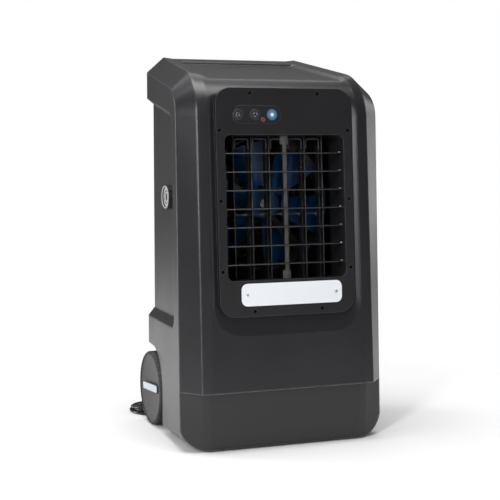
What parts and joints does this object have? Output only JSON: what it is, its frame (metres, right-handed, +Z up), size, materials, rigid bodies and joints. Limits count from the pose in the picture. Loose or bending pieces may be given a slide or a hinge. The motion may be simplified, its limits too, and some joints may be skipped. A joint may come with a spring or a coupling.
{
  "type": "evaporative cooler",
  "caption": "Tall wheeled evaporative air cooler with tilting louvres, a fan behind them, rear pad and grille, side hose inlet and mains cord.",
  "frame": {"origin": "on the floor, under the middle of the box round the cooler without its loose cord", "axes": "+Z up, -Y out of the air outlet at the front, +X to the viewer's right when facing the front"},
  "size_m": [0.5244, 0.5919, 0.947],
  "materials": {
    "housing": "fine moulded grain",
    "panel": "satin",
    "blade": "gloss",
    "inner_black": "satin",
    "fan_blue": "satin",
    "control": "satin",
    "button": "satin",
    "name_plate": "satin",
    "screw": "zinc plated",
    "steel": "ground",
    "motor": "satin",
    "board": "satin",
    "lens": "clear",
    "pad": "fibrous corrugated paper",
    "tyre": "matt",
    "wheel": "satin",
    "hose": "satin",
    "white_plastic": "satin",
    "grey_plastic": "satin",
    "collar": "satin",
    "brass": "satin",
    "cord": "satin",
    "foot": "matt"
  },
  "bodies": {
    "cabinet": {"housing": "housing", "front_panel": "panel", "panel_screws": "screw", "control_plate": "control", "led_lens": "lens", "control_box": "inner_black", "circuit_board": "board", "name_plate": "name_plate", "plate_rivets": "screw", "louvre_frame": "inner_black", "louvre_post": "grey_plastic", "motor": "motor", "fan_shroud": "inner_black", "motor_bracket": "inner_black", "water_channel": "inner_black", "pump": "inner_black", "pump_hose": "hose", "inlet_neck": "white_plastic", "inlet_pipe": "hose", "float_valve": "brass", "left_axle": "steel", "right_axle": "steel", "front_foot": "foot", "cord_gland": "inner_black", "strain_relief": "cord", "cord_coil": "cord", "power_cord": "cord", "cord_plug": "cord"},
    "tie_bar": {"louvre_tie_bar": "inner_black"},
    "gang_bar": {"vane_gang_bar": "grey_plastic"},
    "fan_rotor": {"fan": "fan_blue", "motor_shaft": "steel"},
    "left_wheel": {"left_tyre": "tyre", "left_wheel_disc": "wheel", "left_wheel_badge": "name_plate"},
    "right_wheel": {"right_tyre": "tyre", "right_wheel_disc": "wheel", "right_wheel_badge": "name_plate"},
    "hose_collar": {"inlet_collar": "collar", "inlet_washer": "white_plastic"},
    "drain_plug": {"drain_plug": "collar"},
    "pad_cassette": {"rear_grille": "panel", "evaporative_pad": "pad"},
    "float": {"float_arm": "brass"},
    "button_1": {"button_1": "button"},
    "button_2": {"button_2": "button"},
    "button_3": {"button_3": "button"},
    "blade_1": {"louvre_blade_1": "blade"},
    "blade_2": {"louvre_blade_2": "blade"},
    "blade_3": {"louvre_blade_3": "blade"},
    "blade_4": {"louvre_blade_4": "blade"},
    "blade_5": {"louvre_blade_5": "blade"},
    "blade_6": {"louvre_blade_6": "blade"},
    "blade_7": {"louvre_blade_7": "blade"},
    "vane_1": {"air_vane_1": "blade"},
    "vane_2": {"air_vane_2": "blade"},
    "vane_3": {"air_vane_3": "blade"},
    "vane_4": {"air_vane_4": "blade"},
    "vane_5": {"air_vane_5": "blade"},
    "vane_6": {"air_vane_6": "blade"}
  },
  "joints": [
    {"name": "button_1_press", "type": "slide", "parent": "cabinet", "child": "button_1", "axis": [0, 0.9974, -0.0714], "range_m": [0, 0.0025], "stiffness_N_per_m": 600},
    {"name": "button_2_press", "type": "slide", "parent": "cabinet", "child": "button_2", "axis": [0, 0.9974, -0.0714], "range_m": [0, 0.0025], "stiffness_N_per_m": 600},
    {"name": "button_3_press", "type": "slide", "parent": "cabinet", "child": "button_3", "axis": [0, 0.9974, -0.0714], "range_m": [0, 0.0025], "stiffness_N_per_m": 600},
    {"name": "blade_1_tilt", "type": "hinge", "parent": "cabinet", "child": "blade_1", "pos_m": [0, -0.1674, 0.703], "axis": [1, 0, 0], "range_deg": [-30, 30]},
    {"name": "blade_2_tilt", "type": "hinge", "parent": "cabinet", "child": "blade_2", "pos_m": [0, -0.17053, 0.6594], "axis": [1, 0, 0], "range_deg": [-30, 30]},
    {"name": "blade_3_tilt", "type": "hinge", "parent": "cabinet", "child": "blade_3", "pos_m": [0, -0.17365, 0.6158], "axis": [1, 0, 0], "range_deg": [-30, 30]},
    {"name": "blade_4_tilt", "type": "hinge", "parent": "cabinet", "child": "blade_4", "pos_m": [0, -0.17677, 0.5722], "axis": [1, 0, 0], "range_deg": [-30, 30]},
    {"name": "blade_5_tilt", "type": "hinge", "parent": "cabinet", "child": "blade_5", "pos_m": [0, -0.17989, 0.5286], "axis": [1, 0, 0], "range_deg": [-30, 30]},
    {"name": "blade_6_tilt", "type": "hinge", "parent": "cabinet", "child": "blade_6", "pos_m": [0, -0.18301, 0.485], "axis": [1, 0, 0], "range_deg": [-30, 30]},
    {"name": "blade_7_tilt", "type": "hinge", "parent": "cabinet", "child": "blade_7", "pos_m": [0, -0.18613, 0.4414], "axis": [1, 0, 0], "range_deg": [-30, 30]},
    {"name": "tie_bar_pivot", "type": "hinge", "parent": "blade_1", "child": "tie_bar", "pos_m": [-0.1405, -0.1464, 0.703], "axis": [1, 0, 0], "range_deg": [-30, 30]},
    {"name": "vane_1_turn", "type": "hinge", "parent": "cabinet", "child": "vane_1", "pos_m": [-0.11501, -0.13167, 0.57129], "axis": [0, 0.0714, 0.9974], "range_deg": [-25, 25]},
    {"name": "vane_2_turn", "type": "hinge", "parent": "cabinet", "child": "vane_2", "pos_m": [-0.069, -0.13167, 0.57129], "axis": [0, 0.0714, 0.9974], "range_deg": [-25, 25]},
    {"name": "vane_3_turn", "type": "hinge", "parent": "cabinet", "child": "vane_3", "pos_m": [-0.023, -0.13167, 0.57129], "axis": [0, 0.0714, 0.9974], "range_deg": [-25, 25]},
    {"name": "vane_4_turn", "type": "hinge", "parent": "cabinet", "child": "vane_4", "pos_m": [0.023, -0.13167, 0.57129], "axis": [0, 0.0714, 0.9974], "range_deg": [-25, 25]},
    {"name": "vane_5_turn", "type": "hinge", "parent": "cabinet", "child": "vane_5", "pos_m": [0.069, -0.13167, 0.57129], "axis": [0, 0.0714, 0.9974], "range_deg": [-25, 25]},
    {"name": "vane_6_turn", "type": "hinge", "parent": "cabinet", "child": "vane_6", "pos_m": [0.11501, -0.13167, 0.57129], "axis": [0, 0.0714, 0.9974], "range_deg": [-25, 25]},
    {"name": "gang_bar_pivot", "type": "hinge", "parent": "vane_1", "child": "gang_bar", "pos_m": [-0.11501, -0.10787, 0.5535], "axis": [0, 0.0714, 0.9974], "range_deg": [-25, 25]},
    {"name": "fan_spin", "type": "hinge", "parent": "cabinet", "child": "fan_rotor", "pos_m": [0, -0.0545, 0.578], "axis": [0, 1, 0], "continuous": true},
    {"name": "left_wheel_spin", "type": "hinge", "parent": "cabinet", "child": "left_wheel", "pos_m": [-0.226, 0.1335, 0.095], "axis": [1, 0, 0], "continuous": true},
    {"name": "right_wheel_spin", "type": "hinge", "parent": "cabinet", "child": "right_wheel", "pos_m": [0.226, 0.1335, 0.095], "axis": [1, 0, 0], "continuous": true},
    {"name": "hose_collar_spin", "type": "hinge", "parent": "cabinet", "child": "hose_collar", "pos_m": [-0.2412, -0.0245, 0.596], "axis": [1, 0, 0], "continuous": true},
    {"name": "drain_plug_pull", "type": "slide", "parent": "cabinet", "child": "drain_plug", "axis": [0, 1, 0], "range_m": [0, 0.03]},
    {"name": "pad_cassette_slide", "type": "slide", "parent": "cabinet", "child": "pad_cassette", "axis": [0, 1, 0], "range_m": [0, 0.07]},
    {"name": "float_swing", "type": "hinge", "parent": "cabinet", "child": "float", "pos_m": [-0.1752, -0.0245, 0.207], "axis": [0, 1, 0], "range_deg": [-24, 8]}
  ],
  "couplings": [
    {"joint": "blade_2_tilt", "follows": "blade_1_tilt", "ratio": 1},
    {"joint": "blade_3_tilt", "follows": "blade_1_tilt", "ratio": 1},
    {"joint": "blade_4_tilt", "follows": "blade_1_tilt", "ratio": 1},
    {"joint": "blade_5_tilt", "follows": "blade_1_tilt", "ratio": 1},
    {"joint": "blade_6_tilt", "follows": "blade_1_tilt", "ratio": 1},
    {"joint": "blade_7_tilt", "follows": "blade_1_tilt", "ratio": 1},
    {"joint": "tie_bar_pivot", "follows": "blade_1_tilt", "ratio": -1},
    {"joint": "vane_2_turn", "follows": "vane_1_turn", "ratio": 1},
    {"joint": "vane_3_turn", "follows": "vane_1_turn", "ratio": 1},
    {"joint": "vane_4_turn", "follows": "vane_1_turn", "ratio": 1},
    {"joint": "vane_5_turn", "follows": "vane_1_turn", "ratio": 1},
    {"joint": "vane_6_turn", "follows": "vane_1_turn", "ratio": 1},
    {"joint": "gang_bar_pivot", "follows": "vane_1_turn", "ratio": -1}
  ]
}
